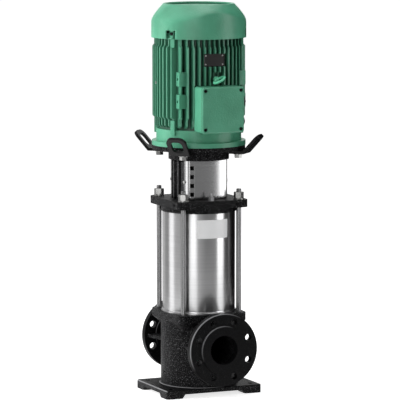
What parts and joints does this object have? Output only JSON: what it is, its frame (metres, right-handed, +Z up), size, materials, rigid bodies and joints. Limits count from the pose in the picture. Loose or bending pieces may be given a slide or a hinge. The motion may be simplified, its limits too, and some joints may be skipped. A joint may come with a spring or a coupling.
{
  "type": "vertical multistage pump",
  "caption": "Vertical in-line centrifugal pump: flanged ports in the foot, stages in a steel sleeve held by tie rods, finned motor on a stool above.",
  "frame": {"origin": "on the shaft axis, on the plane that the feet stand on", "axes": "+Z up along the shaft, +Y towards the rear port, +X to the right of the terminal box"},
  "size_m": [0.2888, 0.34, 1.074],
  "materials": {
    "black_casting": "speckled black paint, satin",
    "black_steel": "black paint, satin",
    "stainless": "brushed",
    "stainless_sheet": "brushed sheet",
    "zinc_steel": "bright zinc",
    "green_paint": "satin green paint",
    "dark_steel": "turned",
    "laminations": "stacked sheet",
    "copper": "enamelled wire",
    "black_plastic": "moulded",
    "bronze": "machined",
    "carbon": "lapped",
    "rubber": "moulded",
    "plate_dark": "dark satin plate",
    "label_pale": "pale satin plate"
  },
  "bodies": {
    "pump_frame": {"pump_housing": "black_casting", "gauge_plug": "stainless", "drain_plug": "black_steel", "outer_sleeve": "stainless", "sleeve_base_ring": "stainless", "sleeve_seals": "rubber", "sleeve_label": "label_pale", "suction_plate": "stainless", "shaft_bush": "bronze", "stage_casings": "stainless_sheet", "return_guides": "stainless_sheet", "top_chamber": "stainless_sheet", "head_cover": "stainless", "seal_seat": "carbon", "lantern": "black_casting", "plate_plugs": "stainless", "vent_plug": "stainless", "tie_rods": "stainless", "tie_rod_washers": "zinc_steel", "tie_rod_nuts": "zinc_steel", "coupling_guard_front": "stainless_sheet", "coupling_guard_rear": "stainless_sheet", "guard_screws": "zinc_steel", "lifting_lugs": "black_steel", "motor_bolts": "zinc_steel", "drive_end_shield": "green_paint", "motor_frame": "green_paint", "motor_plate": "plate_dark", "eye_bolt": "green_paint", "earth_screw": "zinc_steel", "stator_core": "laminations", "windings": "copper", "bearing_outer_rings": "dark_steel", "fan_end_shield": "green_paint", "fan_cowl": "green_paint", "cowl_screws": "zinc_steel", "terminal_box": "green_paint", "gland_plugs": "black_plastic", "terminal_gasket": "rubber", "terminal_cover": "green_paint", "cover_screws": "dark_steel", "terminal_block": "black_plastic"},
    "rotor": {"pump_shaft": "stainless", "impellers": "stainless_sheet", "shaft_nut": "stainless", "seal_ring": "carbon", "seal_spring": "stainless", "coupling_halves": "dark_steel", "coupling_bolts": "zinc_steel", "motor_shaft": "dark_steel", "rotor_core": "laminations", "bearing_inner_rings": "dark_steel", "fan": "black_plastic"},
    "vent_screw": {"vent_screw": "stainless"}
  },
  "joints": [
    {"name": "shaft_spin", "type": "hinge", "parent": "pump_frame", "child": "rotor", "pos_m": [0, 0, 0.6], "axis": [0, 0, 1], "continuous": true},
    {"name": "vent_turn", "type": "hinge", "parent": "pump_frame", "child": "vent_screw", "pos_m": [-0.005, -0.0955, 0.55], "axis": [0, 0, 1], "range_deg": [0, 180]}
  ]
}
